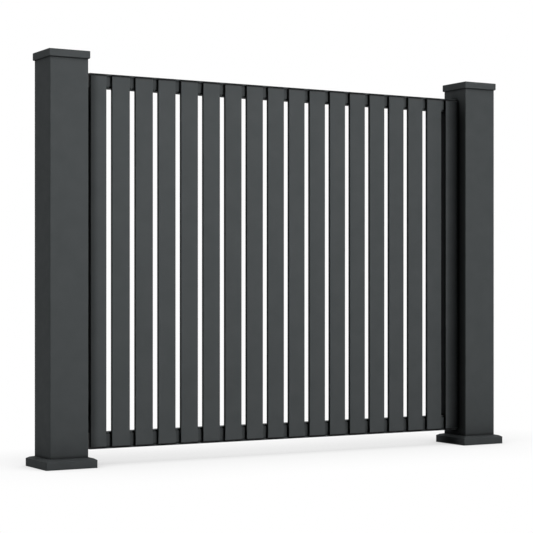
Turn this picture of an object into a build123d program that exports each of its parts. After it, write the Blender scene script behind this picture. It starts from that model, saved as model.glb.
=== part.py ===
from build123d import *
import os

# One bay of an aluminium slat fence: two square posts on bolted foot plates, and between them a
# framed panel of upright slats. Millimetres, +Z up, +X along the fence, +Y from the slatted front
# to the back. The origin is on the ground, at the middle of the left post's foot plate.

# Slats, flat hollow extrusions set side by side on the front of the frame
SLAT_COUNT = 18
SLAT_WIDTH = 68.0
END_SLAT_WIDTH = 60.0
SLAT_GAP = 21.5
SLAT_THICKNESS = 12.0
SLAT_WALL = 1.5
SLAT_CORNER = 1.5
SLAT_END_PLAY = 0.3

# Panel frame, two rails with a lip that covers the slat ends, and two stiles between them
PANEL_BOTTOM = 56.0
PANEL_HEIGHT = 1300.0
TOP_RAIL_HEIGHT = 48.0
BOTTOM_RAIL_HEIGHT = 57.0
LIP_THICKNESS = 6.0
LIP_SETBACK = 6.0
STILE_WIDTH = 50.0
FRAME_DEPTH = 40.0
FRAME_WALL = 2.0
FRAME_CORNER = 1.0

# Push-in covers that close the ends of the rails
END_COVER_THICKNESS = 2.0
END_COVER_PLUG = 10.0
END_COVER_PLAY = 0.2

# Posts, square tubes welded to their foot plates
POST_WIDTH = 140.0
POST_WALL = 3.0
POST_CORNER = 2.5
POST_RISE = 62.0
PANEL_SETBACK = 46.0
LEFT_CLEARANCE = 28.5
RIGHT_CLEARANCE = 2.0

# Flat caps that slip over the posts
CAP_OVERHANG = 5.5
CAP_HEIGHT = 26.0
CAP_TOP_THICKNESS = 4.0
CAP_CORNER = 3.0
CAP_TOP_CHAMFER = 1.0
CAP_RIM_ROUND = 3.5
SLIP_PLAY = 0.3

# Foot plates, each with a square of four anchor holes
PLATE_MARGIN = 21.0
PLATE_THICKNESS = 10.0
PLATE_CORNER = 6.0
ANCHOR_EDGE = 12.0
ANCHOR_HOLE_RADIUS = 5.5

# Bevelled skirts that cover the foot plates
SKIRT_PLATE_PLAY = 0.5
SKIRT_POST_PLAY = 1.5
SKIRT_BAND = 27.0
SKIRT_BEVEL_RUN = 10.0
SKIRT_BEVEL_RISE = 5.5
SKIRT_HEIGHT = 35.0
SKIRT_WALL = 2.5
SKIRT_CORNER = 3.0

# Angle brackets that hold the stiles to the posts, on the back of the panel
BRACKET_HEIGHT = 60.0
BRACKET_THICKNESS = 3.0
BRACKET_POST_LEG = 36.0
BRACKET_STILE_LEG = 40.0
BRACKET_INSET = 130.0

# Sizes and places worked out from those above
PANEL_TOP = PANEL_BOTTOM + PANEL_HEIGHT
POST_TOP = PANEL_TOP + POST_RISE
PLATE_WIDTH = POST_WIDTH + 2 * PLATE_MARGIN
ANCHOR_SPACING = PLATE_WIDTH - 2 * ANCHOR_EDGE
SKIRT_WIDTH = PLATE_WIDTH + 2 * (SKIRT_PLATE_PLAY + SKIRT_WALL)
PANEL_WIDTH = 2 * END_SLAT_WIDTH + (SLAT_COUNT - 2) * SLAT_WIDTH + (SLAT_COUNT - 1) * SLAT_GAP
PANEL_LEFT = POST_WIDTH / 2 + LEFT_CLEARANCE
PANEL_RIGHT = PANEL_LEFT + PANEL_WIDTH
RIGHT_POST_X = PANEL_RIGHT + RIGHT_CLEARANCE + POST_WIDTH / 2
SLAT_FRONT = -POST_WIDTH / 2 + PANEL_SETBACK
FRAME_FRONT = SLAT_FRONT + SLAT_THICKNESS
FRAME_BACK = FRAME_FRONT + FRAME_DEPTH
LIP_FRONT = SLAT_FRONT + LIP_SETBACK
TOP_RAIL_UNDERSIDE = PANEL_TOP - TOP_RAIL_HEIGHT
BOTTOM_RAIL_TOP = PANEL_BOTTOM + BOTTOM_RAIL_HEIGHT


def save(node, solid):
    """Write one piece to its own file."""
    export_step(solid, f"parts/{node}.step")


def bar(left, right, front, back, low, high):
    """A plain block between two corners."""
    size = (right - left, back - front, high - low)
    middle = Pos((left + right) / 2, (front + back) / 2, (low + high) / 2)
    return middle * Box(*size)


def stacked_squares(levels, corner):
    """A solid that runs through level rounded squares, given as (width, height) from the ground."""
    storeys = []
    for (low_width, low), (high_width, high) in zip(levels, levels[1:]):
        floor = Pos(0, 0, low) * RectangleRounded(low_width, low_width, corner)
        roof = Pos(0, 0, high) * RectangleRounded(high_width, high_width, corner)
        storeys.append(loft([floor, roof]))
    solid = storeys[0]
    for storey in storeys[1:]:
        solid += storey
    return solid


def post():
    """A square tube that stands on the foot plate."""
    outside = RectangleRounded(POST_WIDTH, POST_WIDTH, POST_CORNER)
    inside = Rectangle(POST_WIDTH - 2 * POST_WALL, POST_WIDTH - 2 * POST_WALL)
    return Pos(0, 0, PLATE_THICKNESS) * extrude(outside - inside, POST_TOP - PLATE_THICKNESS)


def post_cap():
    """A shallow lid whose rim hangs down around the top of the post."""
    width = POST_WIDTH + 2 * CAP_OVERHANG
    rim_bottom = POST_TOP + CAP_TOP_THICKNESS - CAP_HEIGHT
    lid = Pos(0, 0, rim_bottom) * extrude(RectangleRounded(width, width, CAP_CORNER), CAP_HEIGHT)
    lid = chamfer(lid.faces().sort_by(Axis.Z)[-1].edges(), CAP_TOP_CHAMFER)
    lid = fillet(lid.faces().sort_by(Axis.Z)[0].edges(), CAP_RIM_ROUND)
    hollow = POST_WIDTH + 2 * SLIP_PLAY
    return lid - bar(-hollow / 2, hollow / 2, -hollow / 2, hollow / 2, rim_bottom, POST_TOP)


def foot_plate():
    """A flat plate with an anchor hole near each corner, outside the post."""
    outline = RectangleRounded(PLATE_WIDTH, PLATE_WIDTH, PLATE_CORNER)
    holes = GridLocations(ANCHOR_SPACING, ANCHOR_SPACING, 2, 2) * Circle(ANCHOR_HOLE_RADIUS)
    return extrude(outline - holes, PLATE_THICKNESS)


def base_skirt():
    """A hollow square collar with an upright band, a bevel and a gently sloped top."""
    shoulder_width = SKIRT_WIDTH - 2 * SKIRT_BEVEL_RUN
    shoulder = SKIRT_BAND + SKIRT_BEVEL_RISE
    hole = POST_WIDTH + 2 * SKIRT_POST_PLAY
    outside = stacked_squares(
        [
            (SKIRT_WIDTH, 0),
            (SKIRT_WIDTH, SKIRT_BAND),
            (shoulder_width, shoulder),
            (hole, SKIRT_HEIGHT),
        ],
        SKIRT_CORNER,
    )
    inner_width = SKIRT_WIDTH - 2 * SKIRT_WALL
    inside = stacked_squares(
        [
            (inner_width, 0),
            (inner_width, SKIRT_BAND - SKIRT_WALL / 2),
            (shoulder_width, shoulder - SKIRT_WALL),
            (hole, SKIRT_HEIGHT - SKIRT_WALL),
        ],
        SKIRT_CORNER,
    )
    opening = bar(-hole / 2, hole / 2, -hole / 2, hole / 2, 0, SKIRT_HEIGHT)
    return outside - inside - opening


def rail_outline(edge, slat_side):
    """The section of a rail, a box with a lip along the edge that closes the panel."""
    lip_root = edge + LIP_THICKNESS if slat_side > edge else edge - LIP_THICKNESS
    corners = Polyline(
        (FRAME_BACK, slat_side),
        (FRAME_BACK, edge),
        (LIP_FRONT, edge),
        (LIP_FRONT, lip_root),
        (FRAME_FRONT, lip_root),
        (FRAME_FRONT, slat_side),
        close=True,
    )
    section = make_face(corners)
    inside_corner = Vector(FRAME_FRONT, lip_root)
    outer_corners = [v for v in section.vertices() if (v.center() - inside_corner).length > FRAME_CORNER]
    return fillet(outer_corners, FRAME_CORNER)


def rail_hollow(edge, slat_side, play):
    """The inside of a rail's box, made smaller all round by the play."""
    middle = Pos((FRAME_FRONT + FRAME_BACK) / 2, (edge + slat_side) / 2)
    inset = 2 * (FRAME_WALL + play)
    return middle * Rectangle(FRAME_DEPTH - inset, abs(slat_side - edge) - inset)


def along_fence(section, left, right):
    """Stretch a section drawn in Y and Z from one place along the fence to another."""
    return extrude(Plane.YZ.offset(left) * section, right - left)


def rail(edge, slat_side):
    """A hollow rail with its lip, as long as the panel less the covers on its ends."""
    section = rail_outline(edge, slat_side) - rail_hollow(edge, slat_side, 0)
    return along_fence(section, PANEL_LEFT + END_COVER_THICKNESS, PANEL_RIGHT - END_COVER_THICKNESS)


def rail_end_cover(edge, slat_side, outer, inward):
    """A flat cover on a rail's end, with a plug that fills the rail's box."""
    seat = outer + inward * END_COVER_THICKNESS
    tip = seat + inward * END_COVER_PLUG
    flange = along_fence(rail_outline(edge, slat_side), min(outer, seat), max(outer, seat))
    plug_section = rail_hollow(edge, slat_side, END_COVER_PLAY)
    return flange + along_fence(plug_section, min(seat, tip), max(seat, tip))


def upright_tube(left, width, front, depth, low, high, wall, corner):
    """A hollow upright with rounded outer corners."""
    outside = RectangleRounded(width, depth, corner)
    inside = Rectangle(width - 2 * wall, depth - 2 * wall)
    return Pos(left + width / 2, front + depth / 2, low) * extrude(outside - inside, high - low)


def stile(left):
    """A frame upright between the rails, behind an end slat."""
    return upright_tube(
        left, STILE_WIDTH, FRAME_FRONT, FRAME_DEPTH, BOTTOM_RAIL_TOP, TOP_RAIL_UNDERSIDE,
        FRAME_WALL, FRAME_CORNER,
    )


def slat(left, width):
    """One slat, standing on the lower lip and reaching up to the upper one."""
    low = PANEL_BOTTOM + LIP_THICKNESS
    high = PANEL_TOP - LIP_THICKNESS - SLAT_END_PLAY
    return upright_tube(left, width, SLAT_FRONT, SLAT_THICKNESS, low, high, SLAT_WALL, SLAT_CORNER)


def bracket(outer, inward, clearance, middle):
    """An angle with one leg on the post and the other on the back of the stile."""
    post_face = outer - inward * clearance
    low = middle - BRACKET_HEIGHT / 2
    high = middle + BRACKET_HEIGHT / 2
    post_leg_end = post_face + inward * BRACKET_THICKNESS
    stile_leg_end = outer + inward * BRACKET_STILE_LEG
    post_leg = bar(
        min(post_face, post_leg_end), max(post_face, post_leg_end),
        FRAME_BACK, FRAME_BACK + BRACKET_POST_LEG, low, high,
    )
    stile_leg = bar(
        min(post_face, stile_leg_end), max(post_face, stile_leg_end),
        FRAME_BACK, FRAME_BACK + BRACKET_THICKNESS, low, high,
    )
    return post_leg + stile_leg


os.makedirs("parts", exist_ok=True)

for side, x in (("left", 0), ("right", RIGHT_POST_X)):
    place = Pos(x, 0, 0)
    save(f"{side}_post", place * post())
    save(f"{side}_post_cap", place * post_cap())
    save(f"{side}_foot_plate", place * foot_plate())
    save(f"{side}_base_skirt", place * base_skirt())

rails = (("top", PANEL_TOP, TOP_RAIL_UNDERSIDE), ("bottom", PANEL_BOTTOM, BOTTOM_RAIL_TOP))
ends = (("left", PANEL_LEFT, 1, LEFT_CLEARANCE), ("right", PANEL_RIGHT, -1, RIGHT_CLEARANCE))

for name, edge, slat_side in rails:
    save(f"{name}_rail", rail(edge, slat_side))
    for side, outer, inward, _ in ends:
        save(f"{name}_rail_{side}_end_cover", rail_end_cover(edge, slat_side, outer, inward))

save("left_stile", stile(PANEL_LEFT))
save("right_stile", stile(PANEL_RIGHT - STILE_WIDTH))

slat_left = PANEL_LEFT
for number in range(1, SLAT_COUNT + 1):
    width = END_SLAT_WIDTH if number in (1, SLAT_COUNT) else SLAT_WIDTH
    save(f"slat_{number:02d}", slat(slat_left, width))
    slat_left += width + SLAT_GAP

bracket_heights = (("upper", PANEL_TOP - BRACKET_INSET), ("lower", PANEL_BOTTOM + BRACKET_INSET))
for side, outer, inward, clearance in ends:
    for level, middle in bracket_heights:
        save(f"{level}_{side}_bracket", bracket(outer, inward, clearance, middle))
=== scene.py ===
import math

import bmesh
import bpy
from mathutils import Matrix, Vector


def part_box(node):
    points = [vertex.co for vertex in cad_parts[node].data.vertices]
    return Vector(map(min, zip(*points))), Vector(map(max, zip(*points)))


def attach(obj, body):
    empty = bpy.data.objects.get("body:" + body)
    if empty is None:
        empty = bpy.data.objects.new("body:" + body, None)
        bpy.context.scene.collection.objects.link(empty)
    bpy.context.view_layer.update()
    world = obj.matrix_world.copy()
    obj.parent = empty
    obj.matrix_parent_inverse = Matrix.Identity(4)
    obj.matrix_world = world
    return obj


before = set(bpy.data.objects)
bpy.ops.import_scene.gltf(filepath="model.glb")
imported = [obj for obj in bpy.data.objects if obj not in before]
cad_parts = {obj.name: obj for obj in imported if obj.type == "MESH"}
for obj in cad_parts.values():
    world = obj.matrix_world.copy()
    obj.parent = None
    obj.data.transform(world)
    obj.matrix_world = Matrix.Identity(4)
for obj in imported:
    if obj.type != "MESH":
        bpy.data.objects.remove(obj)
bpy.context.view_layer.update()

# Photograph, 533 x 533: a level camera that looks along the fence's front from its left
CAMERA_PLACE = (-2.1644, -5.1310, 0.6092)
CAMERA_TURN = 30.13
CAMERA_LENS = 108.78
CAMERA_SHIFT = 0.0426
SENSOR_WIDTH = 36
VIEW_END = 200

# Lamps: turn from the fence's front to its right, height and size in degrees, and strength.
# A beam also has the place that it is aimed at and its cone in degrees.
LAMPS = {
    "key": (14, 10, 20, 3.4, (0.6, 0, 1.5), 20),
    "side": (60, 10, 50, 7.6, (0.6, 0, 1.3), 28),
    "top": (20, 60, 30, 0.45),
    "left": (-90, 3.5, 4, 1.1),
    "rear": (135, 35, 20, 2.8),
    "back": (180, 25, 12, 1.0),
}
BEAM_DISTANCE = 12.0
BEAM_STRETCH = 1.6

# Floor and room. Rows of the floor's soft shadow: the way that it faces, its reach in metres, its share
FLOOR_HALF = 30
FLOOR_GREY = (0.08, 0.08, 0.08, 1)
FLOOR_SHADOWS = (
    ((0, 0, 1), 0.6, 0.21),
    ((-0.35, -0.85, 0.4), 0.6, 0.31),
    ((0, 0, 1), 0.09, 0.25),
)
WHITE = (1, 1, 1, 1)
ROOM_SEEN = 1.0
ROOM_LIGHT = 0.02

# How near, in metres, other surfaces make a finish look darker: painted shade, where the colour is darkened
# near the ground, in corners, niches, creases, slits and by the lips, standing in for the shade that falls
# there
GROUND = 0.25
CORNER = 0.1
NICHE = 0.062
CREASE = 0.012
SLIT = 0.008
LIP = 0.012
SHADE_SAMPLES = 8

# Shares of a piece's height at its top and at its foot: the painted shadow line at a slat's ends, and a
# rail's lip, where painted shade darkens the lip beside the slats' ends
END_SHADOW_LINE = (0.027, 0.028, 0.029, 1)
END_SHADOW_LINE_SHARE = 0.0023
LIP_SHARE = 0.12

# Finishes: linear colours, roughness, grains in a metre, the grain's depth in metres, and gloss
COAT = {
    "dark": (0.066, 0.072, 0.074, 1), "pale": (0.074, 0.080, 0.082, 1),
    "roughness": (0.58, 0.70), "grain": 900.0, "grain_depth": 0.00006, "specular": 0.02,
}
PLASTIC = {
    "dark": (0.026, 0.028, 0.029, 1), "pale": (0.032, 0.034, 0.035, 1),
    "roughness": (0.45, 0.55), "grain": 1500.0, "grain_depth": 0.00003, "specular": 0.4,
}
TONE_SCALE = 16.0
TONE_DETAIL = 6.0
GLOSS_SCALE = 60.0
GLOSS_DETAIL = 3.0
GRAIN_DETAIL = 2.0
NOISE_LOW = 0.3
NOISE_HIGH = 0.7

# Screw heads, in metres, as rings from the seat up: radius, height, and whether the ring is six-sided
HEX_HEAD = (
    (0.0060, 0.0000, False), (0.0062, 0.0005, False), (0.0060, 0.0010, False), (0.0047, 0.0014, False),
    (0.0040, 0.0014, True), (0.0040, 0.0042, True), (0.0038, 0.0047, False), (0.0030, 0.0048, False),
    (0.0026, 0.0045, False),
)
PAN_HEAD = (
    (0.0048, 0.0000, False), (0.0050, 0.0004, False), (0.0049, 0.0015, False), (0.0043, 0.0025, False),
    (0.0032, 0.0030, False), (0.0020, 0.0032, False), (0.0015, 0.0031, True), (0.0015, 0.0014, True),
)
SCREW_SIDES = 24
SCREW_SHARP_ANGLE = 32
BRACKET_THICKNESS = 0.003
BRACKET_SCREW_RISE = 0.017
STILE_SCREW_INSET = 0.020
EASED_WIDTH = 0.0006
EASED_STEPS = 2


def fill(tree, socket, value):
    """Links another node's output to a socket, or sets the socket's own value."""
    if isinstance(value, bpy.types.NodeSocket):
        tree.links.new(value, socket)
    else:
        socket.default_value = value


def node(tree, kind, **sockets):
    """Adds a shader node and fills its sockets by name."""
    made = tree.nodes.new(kind)
    for name, value in sockets.items():
        fill(tree, made.inputs[name.replace("_", " ")], value)
    return made


def worked_out(tree, operation, *values):
    """The result of one step of arithmetic on numbers or outputs."""
    made = tree.nodes.new("ShaderNodeMath")
    made.operation = operation
    for socket, value in zip(made.inputs, values):
        fill(tree, socket, value)
    return made.outputs["Value"]


def mixed(tree, share, first, second, blend="MIX"):
    """A mix of two colours, with a share of the second."""
    made = tree.nodes.new("ShaderNodeMix")
    made.data_type = "RGBA"
    made.blend_type = blend
    for name, value in (("Factor", share), ("A", first), ("B", second)):
        fill(tree, made.inputs[name], value)
    return made.outputs["Result"]


def noise(tree, place, scale, detail):
    """The grey output of a noise whose grains are about 1 / scale metres."""
    return node(tree, "ShaderNodeTexNoise", Vector=place, Scale=scale, Detail=detail).outputs["Fac"]


def spread(tree, value, low, high):
    """Stretches a noise's middle values over a range."""
    made = node(
        tree, "ShaderNodeMapRange", Value=value,
        From_Min=NOISE_LOW, From_Max=NOISE_HIGH, To_Min=low, To_Max=high)
    return made.outputs["Result"]


def openness(tree, reach, **sockets):
    """1 where no other surface is within reach, and less where one is."""
    made = node(tree, "ShaderNodeAmbientOcclusion", Distance=reach, **sockets)
    made.samples = SHADE_SAMPLES
    return made.outputs["AO"]


def between_ends(tree, share):
    """0 in a share of the piece's height at its top and at its foot, and 1 between them."""
    place = tree.nodes.new("ShaderNodeTexCoord")
    height = node(tree, "ShaderNodeSeparateXYZ", Vector=place.outputs["Generated"])
    return worked_out(tree, "COMPARE", height.outputs["Z"], 0.5, 0.5 - share)


def with_painted_shade(tree, colour, reach, strength, share=None):
    """A colour with painted shade: darker where other surfaces are within reach, all over or in a share at
    the ends.
    """
    shade = worked_out(tree, "POWER", openness(tree, reach), strength)
    darker = mixed(tree, 1, colour, shade, "MULTIPLY")
    if share is None:
        return darker
    return mixed(tree, between_ends(tree, share), darker, colour)


def textured_finish(name, base, *shades, end_shadow_line=False):
    """A coloured surface with a fine raised grain, a slight drift in tone and gloss, and painted shade that
    makes its corners and other places near other surfaces darker.
    """
    material = bpy.data.materials.new(name)
    material.use_nodes = True
    tree = material.node_tree
    place = tree.nodes.new("ShaderNodeTexCoord").outputs["Object"]

    drift = spread(tree, noise(tree, place, TONE_SCALE, TONE_DETAIL), 0, 1)
    colour = mixed(tree, drift, base["dark"], base["pale"])
    # Painted shade: each row darkens the colour where other surfaces are near
    for shade in shades:
        colour = with_painted_shade(tree, colour, *shade)
    # Painted shadow: a dark line across the piece's top and foot
    if end_shadow_line:
        colour = mixed(tree, between_ends(tree, END_SHADOW_LINE_SHARE), END_SHADOW_LINE, colour)

    grain = noise(tree, place, base["grain"], GRAIN_DETAIL)
    bump = node(tree, "ShaderNodeBump", Strength=1.0, Distance=base["grain_depth"], Height=grain)
    gloss = spread(tree, noise(tree, place, GLOSS_SCALE, GLOSS_DETAIL), *base["roughness"])

    shader = tree.nodes["Principled BSDF"]
    fill(tree, shader.inputs["Base Color"], colour)
    fill(tree, shader.inputs["Roughness"], gloss)
    fill(tree, shader.inputs["Specular IOR Level"], base["specular"])
    fill(tree, shader.inputs["Normal"], bump.outputs["Normal"])
    return material


# Each painted shade of a finish is a reach, a strength and, where it is kept to the ends, a share of the
# height; it darkens the colour where shade falls, and the slats also get a painted shadow line at their
# ends
coat = textured_finish("powder_coat", COAT, (CORNER, 1.0), (CREASE, 1.8))
post_coat = textured_finish("post_coat", COAT, (GROUND, 0.3), (CORNER, 1.0), (CREASE, 1.8))
slat_coat = textured_finish("slat_coat", COAT, (NICHE, 1.0), end_shadow_line=True)
end_slat_coat = textured_finish("end_slat_coat", COAT, (NICHE, 4.2), end_shadow_line=True)
rail_coat = textured_finish("rail_coat", COAT, (SLIT, 1.0), (LIP, 7.0, LIP_SHARE))
skirt_coat = textured_finish("skirt_coat", COAT, (CORNER, 0.3), (CREASE, 0.4))
cover_plastic = textured_finish("cover_plastic", PLASTIC, (CORNER, 1.0))

# A piece takes the last of these whose word is in its name, and otherwise the plain coat
finishes = {
    "post": post_coat, "cap": coat,
    "slat": slat_coat, "slat_01": end_slat_coat, "slat_18": end_slat_coat,
    "rail": rail_coat, "skirt": skirt_coat, "end_cover": cover_plastic,
}
for name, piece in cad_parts.items():
    finish = coat
    for word, special in finishes.items():
        if word in name:
            finish = special
    for slot in piece.material_slots:
        slot.material = finish


# Screws on the back: two through each leg of a bracket, and one into each end of each slat
def screws(name, rings, places):
    """One mesh with a screw head at each place, given as a seat and the way the head points."""
    made = bmesh.new()
    for seat, outward in places:
        stand = Matrix.Translation(seat) @ Vector(outward).to_track_quat("Z", "Y").to_matrix().to_4x4()
        loops = []
        for radius, height, six_sided in rings:
            loop = []
            for side in range(SCREW_SIDES):
                angle = 2 * math.pi * side / SCREW_SIDES
                reach = radius
                if six_sided:
                    reach /= math.cos((angle + math.pi / 6) % (math.pi / 3) - math.pi / 6)
                point = Vector((reach * math.cos(angle), reach * math.sin(angle), height))
                loop.append(made.verts.new(stand @ point))
            loops.append(loop)
        for low, high in zip(loops, loops[1:]):
            for side in range(SCREW_SIDES):
                after = (side + 1) % SCREW_SIDES
                made.faces.new((low[side], low[after], high[after], high[side]))
        made.faces.new(loops[-1])
        made.faces.new(reversed(loops[0]))
    mesh = bpy.data.meshes.new(name)
    made.to_mesh(mesh)
    made.free()
    mesh.shade_smooth()
    mesh.set_sharp_from_angle(angle=math.radians(SCREW_SHARP_ANGLE))
    mesh.materials.append(coat)
    piece = bpy.data.objects.new(name, mesh)
    bpy.context.collection.objects.link(piece)
    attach(piece, "root")


bracket_places = []
for side, outward in (("left", 1), ("right", -1)):
    stile_low, stile_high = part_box(f"{side}_stile")
    stile_outer = stile_low[0] if side == "left" else stile_high[0]
    for level in ("upper", "lower"):
        low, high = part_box(f"{level}_{side}_bracket")
        post_face = low[0] if side == "left" else high[0]
        stile_face = low[1] + BRACKET_THICKNESS
        for rise in (-BRACKET_SCREW_RISE, BRACKET_SCREW_RISE):
            height = (low[2] + high[2]) / 2 + rise
            post_leg = (post_face + outward * BRACKET_THICKNESS, (stile_face + high[1]) / 2, height)
            stile_leg = (stile_outer + outward * STILE_SCREW_INSET, stile_face, height)
            bracket_places += [(post_leg, (outward, 0, 0)), (stile_leg, (0, 1, 0))]
screws("bracket_screws", HEX_HEAD, bracket_places)

slat_places = []
for rail in ("top_rail", "bottom_rail"):
    rail_low, rail_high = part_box(rail)
    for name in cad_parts:
        if name.startswith("slat_"):
            low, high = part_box(name)
            middle = ((low[0] + high[0]) / 2, rail_high[1], (rail_low[2] + rail_high[2]) / 2)
            slat_places.append((middle, (0, 1, 0)))
screws("slat_screws", PAN_HEAD, slat_places)

for name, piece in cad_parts.items():
    if name.endswith("bracket"):
        bevel = piece.modifiers.new("eased_edges", "BEVEL")
        bevel.width = EASED_WIDTH
        bevel.segments = EASED_STEPS

# Camera
camera = bpy.data.objects.new("camera", bpy.data.cameras.new("camera"))
camera.location = CAMERA_PLACE
camera.rotation_euler = (math.radians(90), 0, -math.radians(CAMERA_TURN))
camera.data.lens = CAMERA_LENS
camera.data.sensor_width = SENSOR_WIDTH
camera.data.shift_y = CAMERA_SHIFT
camera.data.clip_end = VIEW_END
bpy.context.collection.objects.link(camera)
bpy.context.scene.camera = camera


# Floor, room and lamps
def mixed_by_ray(tree, seen, other):
    """Shows one shader to the camera and in reflections, and another to everything else."""
    path = tree.nodes.new("ShaderNodeLightPath")
    rays = path.outputs["Is Camera Ray"]
    for name in ("Is Glossy Ray", "Is Transmission Ray"):
        rays = worked_out(tree, "MAXIMUM", rays, path.outputs[name])
    mix = tree.nodes.new("ShaderNodeMixShader")
    for socket, value in zip(mix.inputs, (rays, other, seen)):
        fill(tree, socket, value)
    return mix.outputs["Shader"]


floor_mesh = bpy.data.meshes.new("floor")
floor_corners = [(x * FLOOR_HALF, y * FLOOR_HALF, 0) for x, y in ((-1, -1), (1, -1), (1, 1), (-1, 1))]
floor_mesh.from_pydata(floor_corners, [], [(0, 1, 2, 3)])
floor = bpy.data.objects.new("floor", floor_mesh)
bpy.context.collection.objects.link(floor)
floor_finish = bpy.data.materials.new("floor")
floor_finish.use_nodes = True
tree = floor_finish.node_tree
tree.nodes.clear()
brightness = 1 - sum(share for _, _, share in FLOOR_SHADOWS)
for (x, y, z), reach, share in FLOOR_SHADOWS:
    facing = node(tree, "ShaderNodeCombineXYZ", X=x, Y=y, Z=z)
    lit = openness(tree, reach, Normal=facing.outputs["Vector"])
    brightness = worked_out(tree, "MULTIPLY_ADD", lit, share, brightness)
glow = node(tree, "ShaderNodeEmission", Color=WHITE, Strength=brightness)
grey = node(tree, "ShaderNodeBsdfDiffuse", Color=FLOOR_GREY)
surface = mixed_by_ray(tree, glow.outputs["Emission"], grey.outputs["BSDF"])
node(tree, "ShaderNodeOutputMaterial", Surface=surface)
floor_mesh.materials.append(floor_finish)

world = bpy.data.worlds.new("studio")
world.use_nodes = True
bpy.context.scene.world = world
tree = world.node_tree
tree.nodes.clear()
white = node(tree, "ShaderNodeBackground", Color=WHITE, Strength=ROOM_SEEN)
ambient = node(tree, "ShaderNodeBackground", Color=WHITE, Strength=ROOM_LIGHT)
surface = mixed_by_ray(tree, white.outputs["Background"], ambient.outputs["Background"])
node(tree, "ShaderNodeOutputWorld", Surface=surface)


def soft_lamp(name, turn, height, size, strength, aim=None, cone=None):
    """A soft lamp from far away, or with an aim a beam that is wide across and fades outwards.

    The matt coat reflects the white room and not the lamps.
    """
    data = bpy.data.lights.new(name, "SPOT" if aim else "SUN")
    lamp = bpy.data.objects.new(name, data)
    lamp.rotation_euler = (math.radians(90 - height), 0, math.radians(turn))
    lamp.visible_glossy = False
    data.energy = strength
    if aim:
        data.energy *= 4 * math.pi * BEAM_DISTANCE ** 2
        data.shadow_soft_size = BEAM_DISTANCE * math.tan(math.radians(size / 2))
        data.spot_size = math.radians(cone)
        data.spot_blend = 1
        lamp.location = Vector(aim) + lamp.rotation_euler.to_matrix() @ Vector((0, 0, BEAM_DISTANCE))
        lamp.scale = (BEAM_STRETCH, 1, 1)
    else:
        data.angle = math.radians(size)
    bpy.context.collection.objects.link(lamp)


for name, values in LAMPS.items():
    soft_lamp(name, *values)

bpy.context.scene.view_settings.view_transform = "Standard"
